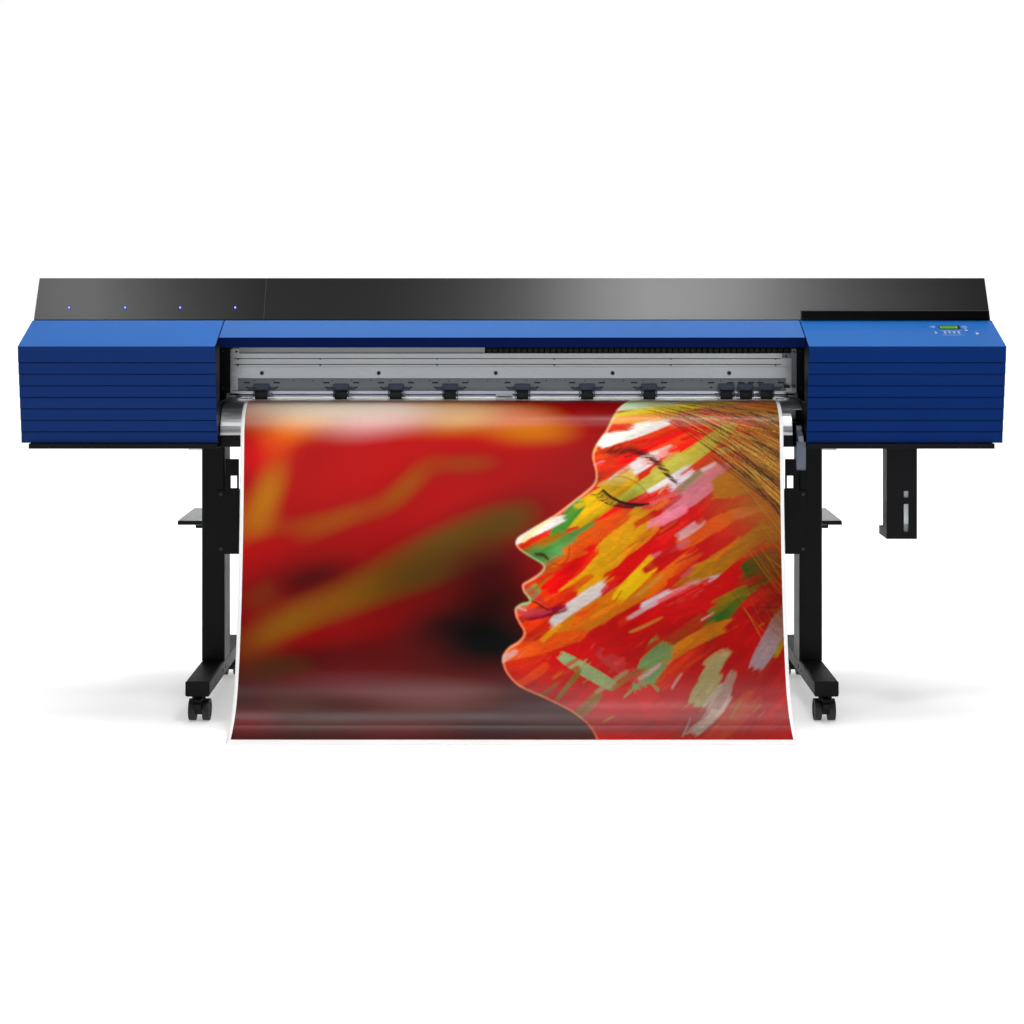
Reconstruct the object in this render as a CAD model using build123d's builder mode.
"""Wide-format roll-fed printer cutter on a castered stand.

Frame: +Z up, origin on the floor under the middle of the machine, +X to the operator's right, -Y towards the operator.
Depths in this file are measured back from the upper front edge of the side covers and turned into Y by yd().
"""
from build123d import *
import math
import os

os.makedirs("parts", exist_ok=True)

# ---------------------------------------------------------------- driving dimensions, mm
DEPTH_ZERO = 240.0        # Y = depth - DEPTH_ZERO
HALF_W = 1370.0           # half width over the side covers
BAY_X = 823.0             # inner face of the side bays
HOOD_X = 1367.0           # half width over the hood
SEAM_X = -710.0           # joint between the two hoods
COVER_TOP_FRONT = (0.0, 1048.5)
COVER_TOP_BACK = (164.0, 1115.5)
COVER_FOOT = (45.0, 777.0)
LIP_D, LIP_TOP_Z, LIP_LOW_Z = 55.0, 1071.0, 1043.0
LOUVRES = 8
SKIN = 4.0
BASE_Z = 766.0            # top of the bottom tray's sheet
BEAM_TOP = 828.0
PLATEN_Z = 886.0
MEDIA_HALF = 762.0        # 60 inch roll
MEDIA_T = 1.0
ROLL_D, ROLL_Z, ROLL_R, CORE_R = 590.0, 612.0, 75.0, 46.0
NIP_D, GRIT_R, PINCH_R = 200.0, 12.0, 12.0
GRIT_Z = 874.2
PINCH_Z = 900.2
PIVOT_D, PIVOT_Z = 290.0, 896.0
PINCH_X = [-721.0, -492.0, -334.0, -178.0, 30.0, 216.0, 395.0, 732.0]
PARKED_X = [617.0, 672.0]
RAIL_LOW, RAIL_TOP, RAIL_BACK = 908.0, 1019.0, 276.0
RAIL_X = 1260.0
PULLEY_X, PULLEY_D, PULLEY_R = 1240.0, 246.0, 10.0
LEG_X, TUBE_W = 874.0, 67.0
FOOT_LOW, FOOT_TOP = 75.0, 117.0
FOOT_FRONT, FOOT_BACK = 20.0, 682.0
COL_FRONT, COL_BACK, COL_TOP = 294.0, 407.0, 757.0
STAY_LOW, STAY_TOP = 429.0, 616.0
WHEEL_R, WHEEL_W, WHEEL_GAP, TRAIL = 30.0, 19.0, 20.0, 18.0
CASTER_Y = {"front": -200.0, "rear": 395.0}
SLOPE = math.degrees(math.atan2(COVER_TOP_BACK[1] - COVER_TOP_FRONT[1], COVER_TOP_BACK[0]))


def yd(d):
    return d - DEPTH_ZERO


def pts(pairs):
    return [(yd(d), z) for d, z in pairs]


def slab(x0, x1, d0, d1, z0, z1, mode=Mode.ADD):
    """A block between two corners, with its depth measured from the cover front."""
    with Locations(((x0 + x1) / 2, yd((d0 + d1) / 2), (z0 + z1) / 2)):
        Box(abs(x1 - x0), abs(d1 - d0), abs(z1 - z0), mode=mode)


def prism(x0, x1, pairs, mode=Mode.ADD):
    """A depth-height outline carried along X from x0 to x1."""
    with BuildSketch(Plane.YZ.offset(min(x0, x1))) as sk:
        with BuildLine():
            Polyline(*pts(pairs), close=True)
        make_face()
    extrude(sk.sketch, amount=abs(x1 - x0), mode=mode)


def rod(x0, x1, d, z, r, mode=Mode.ADD):
    """A round bar along X."""
    with BuildSketch(Plane.YZ.offset(min(x0, x1))) as sk:
        with Locations((yd(d), z)):
            Circle(r)
    extrude(sk.sketch, amount=abs(x1 - x0), mode=mode)


def post(x, d, z0, z1, r, mode=Mode.ADD):
    """A round bar along Z."""
    with BuildSketch(Plane.XY.offset(min(z0, z1))) as sk:
        with Locations((x, yd(d))):
            Circle(r)
    extrude(sk.sketch, amount=abs(z1 - z0), mode=mode)


def along_y(x, z, d0, d1, r, mode=Mode.ADD):
    """A round bar along Y."""
    with BuildSketch(Plane.XZ.offset(-yd(d1))) as sk:
        with Locations((x, z)):
            Circle(r)
    extrude(sk.sketch, amount=abs(d1 - d0), mode=mode)


def normals(line):
    out = []
    for i in range(len(line)):
        a, b = line[max(i - 1, 0)], line[min(i + 1, len(line) - 1)]
        dx, dz = b[0] - a[0], b[1] - a[1]
        n = math.hypot(dx, dz)
        out.append((-dz / n, dx / n))
    return out


def band(line, up, down):
    """Closed outline round a depth-height line, up on its left and down on its right."""
    ns = normals(line)
    a = [(p[0] + n[0] * up, p[1] + n[1] * up) for p, n in zip(line, ns)]
    b = [(p[0] - n[0] * down, p[1] - n[1] * down) for p, n in zip(line, ns)]
    return a + b[::-1]


def bezier(p0, p1, p2, p3, n):
    out = []
    for i in range(n + 1):
        t = i / n
        out.append(tuple((1 - t) ** 3 * p0[k] + 3 * t * (1 - t) ** 2 * p1[k] + 3 * t * t * (1 - t) * p2[k] + t ** 3 * p3[k] for k in (0, 1)))
    return out


def save(builder, name):
    builder.part.label = name
    export_step(builder.part, f"parts/{name}.step")


# ---------------------------------------------------------------- stand
with BuildPart() as stand_feet:
    for s in (-1, 1):
        with BuildSketch(Plane.XZ.offset(-yd(FOOT_BACK))) as foot_sk:
            with Locations((s * LEG_X, (FOOT_LOW + FOOT_TOP) / 2)):
                RectangleRounded(TUBE_W, FOOT_TOP - FOOT_LOW, 5)
                RectangleRounded(TUBE_W - 6, FOOT_TOP - FOOT_LOW - 6, 3, mode=Mode.SUBTRACT)
        extrude(foot_sk.sketch, amount=FOOT_BACK - FOOT_FRONT)
        for cy in CASTER_Y.values():
            post(s * LEG_X, cy + DEPTH_ZERO, FOOT_LOW - 1, FOOT_LOW + 5, 5.05, mode=Mode.SUBTRACT)
        inner = s * (LEG_X - TUBE_W / 2)
        for d in (262, 318):
            rod(inner - 4, inner + 4, d, 96, 7, mode=Mode.SUBTRACT)
save(stand_feet, "stand_feet")

with BuildPart() as foot_caps:
    for s in (-1, 1):
        for edge, side in ((FOOT_FRONT, -1), (FOOT_BACK, 1)):
            d0 = edge if side > 0 else edge - 5
            with BuildSketch(Plane.XZ.offset(-yd(d0 + 5))) as cap_sk:
                with Locations((s * LEG_X, (FOOT_LOW + FOOT_TOP) / 2)):
                    RectangleRounded(TUBE_W + 0.6, FOOT_TOP - FOOT_LOW + 0.6, 5)
            extrude(cap_sk.sketch, amount=5)
            p0 = edge - 14 if side > 0 else edge
            with BuildSketch(Plane.XZ.offset(-yd(p0 + 14))) as plug_sk:
                with Locations((s * LEG_X, (FOOT_LOW + FOOT_TOP) / 2)):
                    RectangleRounded(TUBE_W - 6.6, FOOT_TOP - FOOT_LOW - 6.6, 2.5)
                    RectangleRounded(TUBE_W - 12, FOOT_TOP - FOOT_LOW - 12, 2, mode=Mode.SUBTRACT)
            extrude(plug_sk.sketch, amount=14)
save(foot_caps, "foot_caps")

with BuildPart() as stand_columns:
    for s in (-1, 1):
        with BuildSketch(Plane.XY.offset(FOOT_TOP)) as col_sk:
            with Locations((s * LEG_X, yd((COL_FRONT + COL_BACK) / 2))):
                RectangleRounded(TUBE_W, COL_BACK - COL_FRONT, 5)
                RectangleRounded(TUBE_W - 6, COL_BACK - COL_FRONT - 6, 3, mode=Mode.SUBTRACT)
        extrude(col_sk.sketch, amount=COL_TOP - FOOT_TOP)
        a, b = sorted((s * 799, s * 944))
        slab(a, b, 262, 470, COL_TOP, COL_TOP + 5)
        outer = s * 944
        prism(outer, outer - s * 4, [(340, COL_TOP), (460, COL_TOP), (460, COL_TOP - 16), (430, COL_TOP - 16)])
        # foot flange and side cheeks
        slab(s * LEG_X - TUBE_W / 2 + 3, s * LEG_X + TUBE_W / 2 - 3, COL_FRONT + 3, COL_BACK - 3, FOOT_TOP, FOOT_TOP + 4)
save(stand_columns, "stand_columns")

with BuildPart() as stand_stays:
    # front channel panel, lapped over the faces of both columns, with a neck at each end
    slab(-862, 862, COL_FRONT - 3, COL_FRONT, STAY_LOW, STAY_TOP)
    slab(-LEG_X + TUBE_W / 2 + 1, LEG_X - TUBE_W / 2 - 1, COL_FRONT, COL_FRONT + 38, STAY_TOP - 3, STAY_TOP)
    slab(-LEG_X + TUBE_W / 2 + 1, LEG_X - TUBE_W / 2 - 1, COL_FRONT, COL_FRONT + 38, STAY_LOW, STAY_LOW + 3)
    for s in (-1, 1):
        slab(s * 798, s * 838, COL_FRONT - 3, COL_FRONT, STAY_TOP, 707)
        slab(s * 804, s * 822, COL_FRONT - 3, COL_FRONT, STAY_TOP + 6, 658, mode=Mode.SUBTRACT)
save(stand_stays, "stand_stays")

# ---------------------------------------------------------------- casters
for end, cy in CASTER_Y.items():
    for s, side in ((-1, "left"), (1, "right")):
        ax = cy + TRAIL + DEPTH_ZERO          # axle depth
        cx = s * LEG_X
        with BuildPart() as yoke:
            prism(cx - WHEEL_GAP / 2 + 1, cx + WHEEL_GAP / 2 - 1,
                  [(ax - 40, 66), (ax - 44, 52), (ax - 20, 20), (ax + 2, 16), (ax + 14, 22), (ax + 16, 40), (ax + 6, 66)])
            post(cx, cy + DEPTH_ZERO, 60, 72, 19)
            post(cx, cy + DEPTH_ZERO, 72, 92, 5.0)
            rod(cx - 12, cx + 12, ax, WHEEL_R, 4.06, mode=Mode.SUBTRACT)
            if end == "front":
                slab(cx - 13, cx + 13, ax - 62, ax - 30, 63.5, 68)
        save(yoke, f"caster_{end}_{side}")
        with BuildPart() as wheels:
            rod(cx - WHEEL_GAP / 2 - 2, cx + WHEEL_GAP / 2 + 2, ax, WHEEL_R, 4.0)
            for t in (-1, 1):
                x0 = cx + t * WHEEL_GAP / 2
                rod(x0, x0 + t * WHEEL_W, ax, WHEEL_R, WHEEL_R)
                rod(x0 + t * (WHEEL_W - 4), x0 + t * (WHEEL_W + 1), ax, WHEEL_R, 20, mode=Mode.SUBTRACT)
            rod(cx - WHEEL_GAP / 2 - WHEEL_W + 0.5, cx - WHEEL_GAP / 2, ax, WHEEL_R, 7)
            rod(cx + WHEEL_GAP / 2, cx + WHEEL_GAP / 2 + WHEEL_W - 0.5, ax, WHEEL_R, 7)
        save(wheels, f"wheels_{end}_{side}")

# ---------------------------------------------------------------- roll feed at the rear
with BuildPart() as roll_tray:
    slab(-997, 984, 410, 701.5, 509, 512)
    slab(-997, 984, 698.5, 701.5, 496, 509)
    for s, w in ((-1, 997), (1, 984)):
        slab(s * (w - 3), s * w, 412, 701.5, 500, 509)
        prism(s * w, s * 914, [(410, 512), (407, 511), (399, 500), (402, 499), (410, 509)])
        slab(s * 905, s * 925, 470, 640, 505, 515, mode=Mode.SUBTRACT)
save(roll_tray, "roll_tray")

with BuildPart() as roll_supports:
    for s in (-1, 1):
        # arm under the tray, bolted to the back of the column
        slab(s * 850, s * 898, COL_BACK, COL_BACK + 4, 440, 509)
        prism(s * 850, s * 854, [(COL_BACK + 4, 440), (COL_BACK + 4, 509), (690, 509), (690, 492)])
        prism(s * 894, s * 898, [(COL_BACK + 4, 440), (COL_BACK + 4, 509), (690, 509), (690, 492)])
        rod(s * 898, s * 948, 440, 494, 10)
        # pedestal with a round saddle for the flange journal
        prism(s * 800, s * 826, [(545, 512), (635, 512), (628, 540), (616, 612), (564, 612), (552, 540)])
        rod(s * 798, s * 828, ROLL_D, ROLL_Z, 20.5, mode=Mode.SUBTRACT)
save(roll_supports, "roll_supports")

with BuildPart() as media_roll:
    rod(-MEDIA_HALF, MEDIA_HALF, ROLL_D, ROLL_Z, ROLL_R)
    rod(-MEDIA_HALF - 1, MEDIA_HALF + 1, ROLL_D, ROLL_Z, 38.1, mode=Mode.SUBTRACT)
save(media_roll, "media_roll")

with BuildPart() as roll_flanges:
    for s in (-1, 1):
        rod(s * (MEDIA_HALF + 0.3), s * (MEDIA_HALF + 12), ROLL_D, ROLL_Z, 82)
        rod(s * (MEDIA_HALF - 60), s * (MEDIA_HALF + 0.3), ROLL_D, ROLL_Z, 37.9)
        rod(s * (MEDIA_HALF + 12), s * 832, ROLL_D, ROLL_Z, 20.0)
        rod(s * 829, s * 834, ROLL_D, ROLL_Z, 27.0)
        rod(s * (MEDIA_HALF - 62), s * 840, ROLL_D, ROLL_Z, 9.0, mode=Mode.SUBTRACT)
save(roll_flanges, "roll_flanges")

# ---------------------------------------------------------------- path of the sheet, and what it runs over
SURFACE = bezier((184, PLATEN_Z), (140, PLATEN_Z), (78, 862), (73, 800), 16)     # platen nose and apron
SPLIT = min(range(len(SURFACE)), key=lambda i: abs(SURFACE[i][0] - 115))
REAR = bezier((334.6, PLATEN_Z), (400, PLATEN_Z), (452, 860), (462, 792), 14)      # rear guide

WHOLE = band(SURFACE, 0.0, -3.0)
UNDER = WHOLE[: len(SURFACE) - 1 : -1]        # the underside, in the same order as SURFACE
with BuildPart() as platen:
    prism(-820, 820, SURFACE[: SPLIT + 1] + UNDER[: SPLIT + 1][::-1])
    slab(-820, 820, 184, 334, PLATEN_Z - 5, PLATEN_Z)
    slab(-820, 820, 226, 231, BEAM_TOP, PLATEN_Z - 5)
    slab(-820, 820, 329, 334, BEAM_TOP, PLATEN_Z - 5)
    for x in PINCH_X:
        slab(x - 24, x + 24, NIP_D - 14, NIP_D + 14, PLATEN_Z - 8, PLATEN_Z + 1, mode=Mode.SUBTRACT)
    for x in range(-780, 781, 30):
        post(x, 244, PLATEN_Z - 6, PLATEN_Z + 1, 1.5, mode=Mode.SUBTRACT)
save(platen, "platen")

with BuildPart() as apron:
    prism(-820, 788, SURFACE[SPLIT:] + UNDER[SPLIT:][::-1])
    slab(-820, 788, 73, 112, 796, 799)
    slab(-820, 788, 73, 76, 797, 803)
save(apron, "apron")

with BuildPart() as rear_guide:
    prism(-820, 820, band(REAR, 0.0, 3.0))
    slab(-820, 820, 400, 459, 790, 793)
    slab(-820, 820, 400, 403, 770, 793)
save(rear_guide, "rear_guide")

GAP = 0.7 + MEDIA_T / 2
front_n, rear_n = normals(SURFACE), normals(REAR)
front_line = [(p[0] + n[0] * -GAP, p[1] + n[1] * -GAP) for p, n in zip(SURFACE, front_n)]
front_line = [(p[0], max(p[1], 0)) for p in front_line]
rear_line = [(p[0] + n[0] * GAP, p[1] + n[1] * GAP) for p, n in zip(REAR, rear_n)]
HANG = bezier((71.0, 788), (60, 640), (46, 300), (-72, 70), 22)
TAIL = bezier((-72, 70), (-110, 26), (-160, 10), (-221.5, 1.4), 10)
end_p = rear_line[-1]
rr = ROLL_R + 0.6 + MEDIA_T / 2
dist = math.hypot(ROLL_D - end_p[0], ROLL_Z - end_p[1])
aim = math.atan2(ROLL_Z - end_p[1], ROLL_D - end_p[0])
turn = math.asin(rr / dist)
reach = math.sqrt(dist * dist - rr * rr)
touch = (end_p[0] + reach * math.cos(aim - turn), end_p[1] + reach * math.sin(aim - turn))
WEB = [touch] + rear_line[::-1] + front_line + HANG + TAIL[1:]
with BuildPart() as media_web:
    prism(-MEDIA_HALF, MEDIA_HALF, band(WEB, MEDIA_T / 2, MEDIA_T / 2))
save(media_web, "media_web")

print("nose splits at", SURFACE[SPLIT], "roll tangent", touch)

# ---------------------------------------------------------------- base of the printing unit
with BuildPart() as bottom_tray:
    slab(-1347, 1345, 30, 500, COL_TOP + 5, BASE_Z)
    slab(-1347, 1345, 30, 33, BASE_Z, 776)
    slab(-1347, -1344, 30, 500, BASE_Z, 776)
    slab(1342, 1345, 30, 500, BASE_Z, 776)
    slab(-812, 812, 440, 501, COL_TOP, 780, mode=Mode.SUBTRACT)
    slab(-822, 823, 29, 84, COL_TOP, 780, mode=Mode.SUBTRACT)
    slab(-812, 812, 437, 440, BASE_Z, 776)
save(bottom_tray, "bottom_tray")

with BuildPart() as base_beam:
    prism(-820, 820, [(84, BASE_Z), (84, 796), (120, 796), (120, BEAM_TOP), (400, BEAM_TOP), (400, BASE_Z)])
    prism(-821, 821, [(88, BASE_Z + 4), (88, 792), (124, 792), (124, BEAM_TOP - 4), (226, BEAM_TOP - 4), (226, BASE_Z + 4)], mode=Mode.SUBTRACT)
    prism(-821, 821, [(231, BASE_Z + 4), (231, BEAM_TOP - 4), (396, BEAM_TOP - 4), (396, BASE_Z + 4)], mode=Mode.SUBTRACT)
    slab(791, 822, 83, 132, BASE_Z - 1, BEAM_TOP + 1, mode=Mode.SUBTRACT)
    slab(787, 791, 84, 132, BASE_Z, 796)
    slab(787, 791, 120, 132, BASE_Z, BEAM_TOP)
save(base_beam, "base_beam")

SIDE_LINE = [(56, BASE_Z), (12, 1041), (14, 1046), (168, 1109), (400, 1109), (400, BASE_Z)]
with BuildPart() as side_plates:
    for s in (-1, 1):
        prism(s * BAY_X, s * (BAY_X + 4), SIDE_LINE)
        slab(s * 820, s * 830, 84, 213, 889, 1066, mode=Mode.SUBTRACT)           # the carriages pass through here
        slab(s * 820, s * 830, 212, 264, RAIL_TOP, 1066, mode=Mode.SUBTRACT)
        slab(s * 820, s * 830, 212, RAIL_BACK, RAIL_LOW, RAIL_TOP, mode=Mode.SUBTRACT)
        rod(s * 820, s * 830, PIVOT_D, PIVOT_Z, 3.3, mode=Mode.SUBTRACT)
        rod(s * 820, s * 830, NIP_D, GRIT_Z, 6.3, mode=Mode.SUBTRACT)
        rod(s * 820, s * 830, 160, 1102, 3.3, mode=Mode.SUBTRACT)
        slab(s * (BAY_X + 4), s * (BAY_X + 18), 340, 400, BASE_Z, BASE_Z + 4)
        slab(s * (BAY_X + 4), s * (BAY_X + 18), 90, 160, BASE_Z, BASE_Z + 4)
    rod(801, BAY_X, 104, 812, 4)
save(side_plates, "side_plates")

FACE = [(217, 908), (217, 919), (219.5, 919), (219.5, 937), (216, 937), (216, 945), (215, 945), (215, 980), (218.5, 980), (218.5, 989), (216, 989), (216, 1012), (214, 1012), (214, 1019)]
with BuildPart() as guide_rail:
    prism(-RAIL_X, RAIL_X, FACE + [(RAIL_BACK, 1019), (RAIL_BACK, 908)])
    slab(-RAIL_X, RAIL_X, 224, 272, 912, 958, mode=Mode.SUBTRACT)
    slab(-RAIL_X, RAIL_X, 224, 272, 964, 1015, mode=Mode.SUBTRACT)
    for s in (-1, 1):
        post(s * PULLEY_X, PULLEY_D, RAIL_TOP, 1037, 3)
save(guide_rail, "guide_rail")

# ---------------------------------------------------------------- pinch rollers, grit shaft, loading lever
ALL_PINCH = PINCH_X + PARKED_X
with BuildPart() as pinch_arms:
    rod(-836, 836, PIVOT_D, PIVOT_Z, 3.0)
    for x in ALL_PINCH:
        for t in (-1, 1):
            prism(x + t * 19.3, x + t * 22.3, [(194, 894), (193, 906), (201, 921), (211, 921), (211, 905), (294, 902), (296, 891), (284, 890), (212, 892.5)])
        slab(x - 22.3, x + 22.3, 208, 211, 913.5, 931)
        slab(x - 19.3, x + 19.3, 222, 262, 895, 901)
        rod(x - 22.3, x + 22.3, NIP_D, PINCH_Z, 3.0)
    for x in PINCH_X:
        a = 34 if x > 700 else 41
        slab(x - a, x + 41, 208, 211, 913.5, 921)
save(pinch_arms, "pinch_arms")

with BuildPart() as pinch_wheels:
    for x in ALL_PINCH:
        rod(x - 17, x + 17, NIP_D, PINCH_Z, PINCH_R)
        rod(x - 18, x + 18, NIP_D, PINCH_Z, 3.4, mode=Mode.SUBTRACT)
save(pinch_wheels, "pinch_wheels")

with BuildPart() as grit_roller:
    rod(-846, 884, NIP_D, GRIT_Z, 6.0)
    for x in PINCH_X:
        rod(x - 21, x + 21, NIP_D, GRIT_Z, GRIT_R)
save(grit_roller, "grit_roller")

with BuildPart() as loading_lever:
    prism(802, 817, [(96, 818), (104, 822), (112, 818), (113, 806), (98, 790), (70, 777), (66, 704), (60, 700), (52, 704), (50, 776), (62, 794), (92, 808)])
    rod(800, 818, 104, 812, 4.3, mode=Mode.SUBTRACT)
    prism(797, 822, [(72, 779), (67, 704), (60, 699), (51, 704), (48, 778)])
save(loading_lever, "loading_lever")

with BuildPart() as media_clamps:
    for s in (-1, 1):
        slab(s * 764, s * 790, 236, 322, PLATEN_Z, PLATEN_Z + 2.4)
        slab(s * 752, s * 764, 236, 322, PLATEN_Z + 2.0, PLATEN_Z + 2.8)
        slab(s * 763.5, s * 768, 236, 322, PLATEN_Z + 2.0, PLATEN_Z + 2.8)
save(media_clamps, "media_clamps")

# ---------------------------------------------------------------- carriages, belt and their drives
with BuildPart() as print_carriage:
    slab(920, 1160, 92, 208, 938, 1062)
    slab(924, 1156, 96, 204, 942, 1063, mode=Mode.SUBTRACT)
    slab(950, 1130, 118, 184, 890, 938)
    slab(980, 1010, 204, 240, 1042, 1058)
    slab(980, 1010, 228, 238, 1034, 1042)
    slab(920, 1160, 208, 212, 946, 979)
save(print_carriage, "print_carriage")

with BuildPart() as cut_carriage:
    slab(-1200, -1110, 120, 208, 944, 1056)
    slab(-1176, -1134, 119, 153, 930, 1050, mode=Mode.SUBTRACT)
    slab(-1200, -1110, 208, 212, 946, 979)
    slab(-1170, -1140, 204, 240, 1042, 1058)
    for x in (-1171, -1139):
        post(x, 147, 950, 1052, 3)
save(cut_carriage, "cut_carriage")

with BuildPart() as blade_holder:
    post(-1155, 136, 898, 1000, 11)
    post(-1155, 136, 892, 898, 4)
    post(-1155, 136, 1000, 1012, 14)
    slab(-1166, -1144, 136, 151, 960, 1000)
save(blade_holder, "blade_holder")

with BuildPart() as drive_belt:
    with BuildSketch(Plane.XY.offset(1024)) as belt_sk:
        with Locations((0, yd(PULLEY_D))):
            SlotCenterToCenter(2 * PULLEY_X, 2 * (PULLEY_R + 1.9))
            SlotCenterToCenter(2 * PULLEY_X, 2 * (PULLEY_R + 0.4), mode=Mode.SUBTRACT)
    extrude(belt_sk.sketch, amount=9)
save(drive_belt, "drive_belt")

for s, name in ((1, "drive_pulley"), (-1, "idler_pulley")):
    with BuildPart() as pulley:
        post(s * PULLEY_X, PULLEY_D, 1020.5, 1023, PULLEY_R + 4)
        post(s * PULLEY_X, PULLEY_D, 1023, 1034, PULLEY_R)
        post(s * PULLEY_X, PULLEY_D, 1034, 1036.5, PULLEY_R + 4)
        post(s * PULLEY_X, PULLEY_D, 1020, 1037, 3.35, mode=Mode.SUBTRACT)
    save(pulley, name)

with BuildPart() as motors:
    post(PULLEY_X, PULLEY_D, 1040, 1085, 21)
    slab(1214, 1263, 222, 270, 1085, 1088)
    slab(RAIL_X, 1263, 222, 270, 990, 1088)
    rod(886, 950, NIP_D, GRIT_Z, 28)
    slab(884, 888, NIP_D - 30, NIP_D + 30, BASE_Z, 905)
    rod(883, 886.5, NIP_D, GRIT_Z, 6.5, mode=Mode.SUBTRACT)
save(motors, "motors")

with BuildPart() as cable_chain:
    slab(-75, 1170, 215, 230.5, RAIL_TOP, 1021)
    with BuildSketch(Plane.XY.offset(1021)) as link_sk:
        with Locations((547.5, yd(222.75))):
            with GridLocations(16.8, 0, 74, 1):
                Rectangle(13.5, 15.5)
    extrude(link_sk.sketch, amount=13)
save(cable_chain, "cable_chain")

with BuildPart() as cap_unit:
    slab(950, 1130, 112, 190, 862, 880)
    slab(958, 1122, 120, 182, 880, 889.6)
    slab(962, 1118, 124, 178, 882, 890, mode=Mode.SUBTRACT)
    for x in (975, 1105):
        post(x, 151, 800, 862, 6)
save(cap_unit, "cap_unit")

# ---------------------------------------------------------------- ink supply at the back of the left bay
with BuildPart() as ink_bay:
    slab(-1320, -900, 380, 511, 800, 872)
    for i in range(4):
        x = -1310 + i * 102
        slab(x, x + 94, 388, 516, 806, 866, mode=Mode.SUBTRACT)
    for x in (-1320, -908):
        slab(x, x + 8, 380, 498, BASE_Z, 800)
save(ink_bay, "ink_bay")

for i in range(4):
    x = -1310 + i * 102
    with BuildPart() as ink_tray:
        slab(x + 1, x + 93, 392, 522, 807, 865)
        slab(x + 5, x + 89, 396, 510, 811, 866, mode=Mode.SUBTRACT)
        slab(x + 12, x + 82, 522, 530, 828, 834)
        fillet(ink_tray.edges().filter_by(Axis.Z).group_by(Axis.Y)[-1], 2)
    save(ink_tray, f"ink_tray_{i + 1}")

# ---------------------------------------------------------------- side covers, front cover, hood
def inset(line, t):
    """The same open depth-height line moved t to the right of its direction, with mitred corners."""
    out = []
    for i, p in enumerate(line):
        dirs = []
        if i > 0:
            dirs.append((p[0] - line[i - 1][0], p[1] - line[i - 1][1]))
        if i < len(line) - 1:
            dirs.append((line[i + 1][0] - p[0], line[i + 1][1] - p[1]))
        ns = []
        for dx, dz in dirs:
            n = math.hypot(dx, dz)
            ns.append((dz / n, -dx / n))
        if len(ns) == 1:
            out.append((p[0] + ns[0][0] * t, p[1] + ns[0][1] * t))
        else:
            k = t / (1 + ns[0][0] * ns[1][0] + ns[0][1] * ns[1][1])
            out.append((p[0] + (ns[0][0] + ns[1][0]) * k, p[1] + (ns[0][1] + ns[1][1]) * k))
    return out


def louvre_line():
    """Front of a side cover from its top edge down: flat at the top, then lapped louvres."""
    fx, fz = COVER_FOOT[0] - COVER_TOP_FRONT[0], COVER_FOOT[1] - COVER_TOP_FRONT[1]
    n = math.hypot(fx, fz)
    pitch = (n - 12) / LOUVRES
    out = [COVER_TOP_FRONT]
    for i in range(LOUVRES):
        a, b = 12 + i * pitch, 12 + (i + 1) * pitch
        out.append((COVER_TOP_FRONT[0] + fx * a / n, COVER_TOP_FRONT[1] + fz * a / n))
        out.append((COVER_TOP_FRONT[0] + fx * (b - 1) / n + 3 * fz / n, COVER_TOP_FRONT[1] + fz * (b - 1) / n - 3 * fx / n))
    out.append(COVER_FOOT)
    return out


CORNER = [COVER_FOOT, COVER_TOP_FRONT, COVER_TOP_BACK]
CORNER_IN = inset(CORNER, SKIN)
SIDE_END = [COVER_FOOT, COVER_TOP_FRONT, COVER_TOP_BACK, (481, 1115.5), (514, 1050), (514, 777)]
SLANT = math.radians(SLOPE)


def on_top(x, d, lift=0.0):
    """Plane lying on the slanted top of a side cover, above depth d."""
    z = COVER_TOP_FRONT[1] + (d - COVER_TOP_FRONT[0]) * math.tan(SLANT)
    return Plane(origin=(x, yd(d) - lift * math.sin(SLANT), z + lift * math.cos(SLANT)), x_dir=(1, 0, 0), z_dir=(0, -math.sin(SLANT), math.cos(SLANT)))


BUTTONS = {
    "power_button": (1308, 77, 5.0),
    "enter_button": (1282, 99, 4.2),
    "menu_button": (1193, 82, 4.2),
    "left_button": (1219, 87, 4.2),
    "up_button": (1232, 87, 4.2),
    "down_button": (1245, 87, 4.2),
    "right_button": (1258, 87, 4.2),
}

for s, name in ((-1, "left_cover"), (1, "right_cover")):
    with BuildPart() as cover:
        prism(s * BAY_X, s * (HALF_W - SKIN), louvre_line()[::-1] + [COVER_TOP_BACK] + CORNER_IN[::-1])
        prism(s * (HALF_W - SKIN), s * HALF_W, louvre_line()[::-1] + SIDE_END[2:])
        if s > 0:
            with BuildSketch(on_top(1239, 119.5, 1)) as window_sk:
                Rectangle(60, 24)
            extrude(window_sk.sketch, amount=-8, mode=Mode.SUBTRACT)
            for bx, bd, br in BUTTONS.values():
                with BuildSketch(on_top(bx, bd, 1)) as hole_sk:
                    Circle(br + 0.35)
                extrude(hole_sk.sketch, amount=-8, mode=Mode.SUBTRACT)
        # flange along the back of the top, and feet on the tray
        slab(s * (BAY_X + 8), s * (HALF_W - SKIN), 164, 167, 1098, 1115.5)
        slab(s * 860, s * 1338, 46.5, 70, 776, 779)
    save(cover, name)

with BuildPart() as lcd_window:
    with BuildSketch(on_top(1239, 119.5)) as glass_sk:
        Rectangle(60, 24)
    extrude(glass_sk.sketch, amount=-3)
save(lcd_window, "lcd_window")

for name, (bx, bd, br) in BUTTONS.items():
    with BuildPart() as button:
        with BuildSketch(on_top(bx, bd, 1.6)) as cap_sk:
            Circle(br)
        extrude(cap_sk.sketch, amount=-7.2)
        with BuildSketch(on_top(bx, bd, -5.6)) as collar_sk:
            Circle(br + 1.6)
        extrude(collar_sk.sketch, amount=-1.2)
        fillet(button.edges().filter_by(GeomType.CIRCLE).sort_by(Axis.Z)[-1], 0.6)
    save(button, name)

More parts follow.
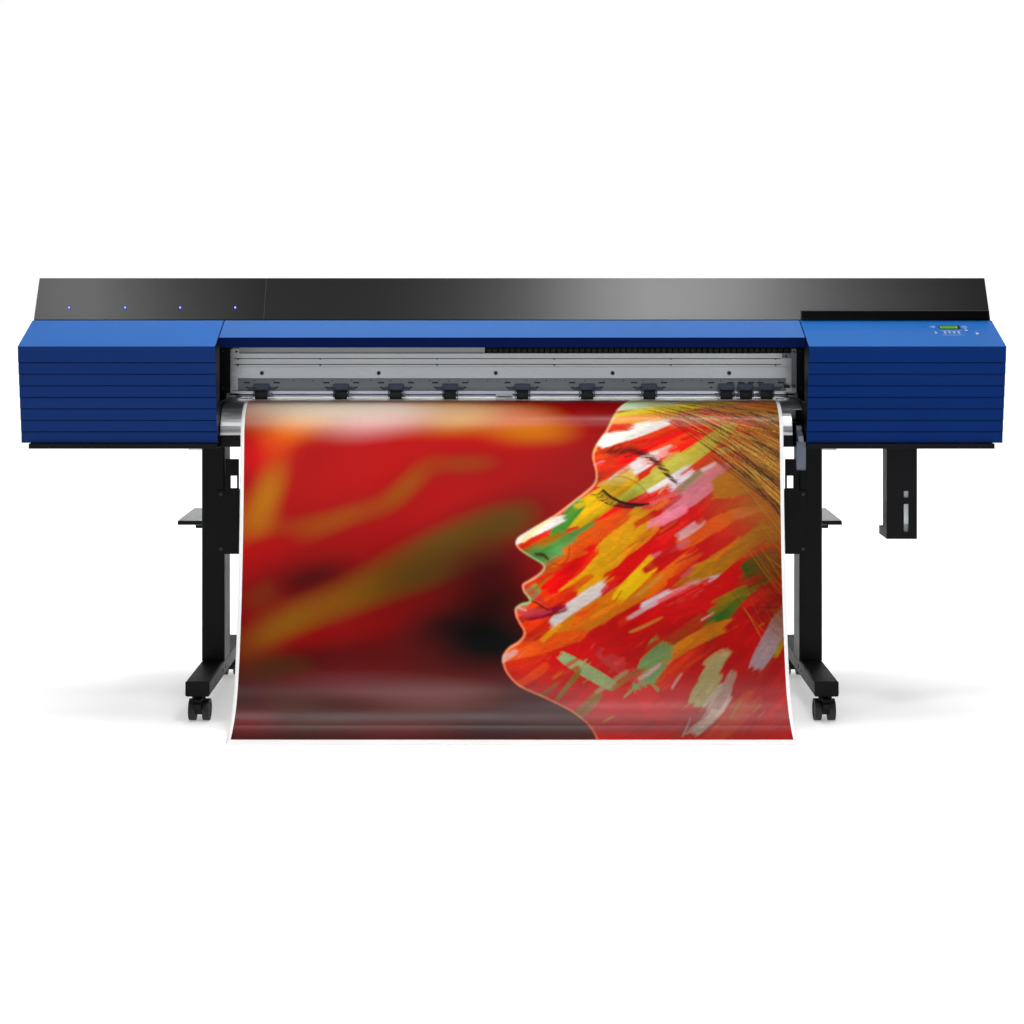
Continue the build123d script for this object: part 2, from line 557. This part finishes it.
with BuildPart() as front_cover:
    lid = [(LIP_D, LIP_LOW_Z), (LIP_D, LIP_TOP_Z), COVER_TOP_BACK]
    prism(-820, 820, lid + inset(lid, SKIN)[::-1])
    slab(-820, 820, LIP_D, LIP_D + 9, LIP_LOW_Z, LIP_LOW_Z + 3)
    for s in (-1, 1):
        prism(s * 816.5, s * 820, [(LIP_D, LIP_LOW_Z), (LIP_D, LIP_TOP_Z), (COVER_TOP_BACK[0], COVER_TOP_BACK[1] - 1), (167, 1104), (164, 1098), (154, 1098), (70, 1056), (70, LIP_LOW_Z)])
        rod(s * 819, s * 829, 160, 1102, 3.0)
save(front_cover, "front_cover")

HOOD_LINE = [(168, 1118), (235, 1236), (430, 1225), (520, 1050)]
HOOD_IN = inset(HOOD_LINE, SKIN)
for name, x0, x1 in (("hood_left", -HOOD_X, SEAM_X - 0.5), ("hood_main", SEAM_X + 0.5, HOOD_X)):
    with BuildPart() as hood:
        prism(x0, x1, HOOD_LINE + HOOD_IN[::-1])
        end = x0 if x0 < -1000 else x1 - SKIN
        prism(end, end + SKIN, HOOD_LINE[:3] + [(486.5, 1115.5), (169, 1115.5)])
        for x in ((-1000.0,) if x0 < -1000 else (-320.0, 320.0, 960.0)):
            prism(x - 1.5, x + 1.5, [(HOOD_IN[1][0] - 6, HOOD_IN[1][1] - 12), HOOD_IN[1], HOOD_IN[2], (HOOD_IN[2][0] + 4, HOOD_IN[2][1] - 8)])
        if x0 > -1000:
            prism(826, 1362, [(171.5, 1122), (159, 1122.5), (158, 1143), (183.5, 1144.5)])
    save(hood, name)

with BuildPart() as rear_panel:
    slab(-1365, 1365, 511, 514, 777, 1049)
    slab(-815, 815, 510, 515, 776, 930, mode=Mode.SUBTRACT)
    slab(-1315, -902, 510, 515, 799, 871, mode=Mode.SUBTRACT)
    slab(-1365, 1365, 511, 514, 1046, 1049)
    for x in (-1345, -822, 818, 1341):
        slab(x, x + 4, 500, 511, 777, 1046)
save(rear_panel, "rear_panel")

# ---------------------------------------------------------------- waste bottle and its holder
with BuildPart() as bottle_holder:
    slab(1053, 1132, 60, 63, 506, COL_TOP + 5)
    with BuildSketch(Plane.XZ.offset(-yd(64))) as slot_sk:
        with Locations((1104.5, 565)):
            RectangleRounded(13, 78, 1.5)
        with Locations((1104.5, 631.5)):
            RectangleRounded(13, 19, 1.5)
    extrude(slot_sk.sketch, amount=6, mode=Mode.SUBTRACT)
    slab(1050, 1053, 60, 118, 506, COL_TOP + 5)
    slab(1132, 1135, 60, 66, 506, COL_TOP + 5)
    slab(1050, 1135, 66, 173, 506, 509)
    slab(1053, 1132, 60, 66, 506, 509)
    slab(1050, 1053, 118, 173, 509, 530)
    slab(1132, 1135, 66, 173, 509, 530)
    slab(1053, 1132, 170, 173, 509, 530)
    slab(1040, 1150, 60, 110, COL_TOP + 2, COL_TOP + 5)
save(bottle_holder, "bottle_holder")

with BuildPart() as drain_bottle:
    with BuildSketch(Plane.XY.offset(509.6)) as bottle_sk:
        with Locations((1092.5, yd(118))):
            RectangleRounded(71, 96, 14)
    extrude(bottle_sk.sketch, amount=140)
    with BuildSketch(Plane.XY.offset(649.6)) as neck_sk:
        with Locations((1092.5, yd(118))):
            Circle(26)
    extrude(neck_sk.sketch, amount=22)
    with BuildSketch(Plane.XY.offset(671.6)) as cap_sk2:
        with Locations((1092.5, yd(118))):
            Circle(21)
    extrude(cap_sk2.sketch, amount=18)
    with BuildSketch(Plane.XY.offset(689.6)) as mouth_sk:
        with Locations((1092.5, yd(118))):
            Circle(16)
    extrude(mouth_sk.sketch, amount=-60, mode=Mode.SUBTRACT)
save(drain_bottle, "drain_bottle")

# ---------------------------------------------------------------- screws, one group
with BuildPart() as fasteners:
    for x in (-721, -384, -47, 290, 626):
        along_y(x, 962.5, 212.6, 215, 4.6)
    for s in (-1, 1):
        for z in (444, 604):
            along_y(s * 851, z, 288.4, COL_FRONT - 3, 5)
        for d in (310, 391):
            post(s * 920, d, COL_TOP - 6, COL_TOP, 6)
            post(s * 820, d, COL_TOP - 6, COL_TOP, 6)
        for z in (455, 485):
            along_y(s * 874, z, COL_BACK + 4, COL_BACK + 8, 6)
save(fasteners, "fasteners")
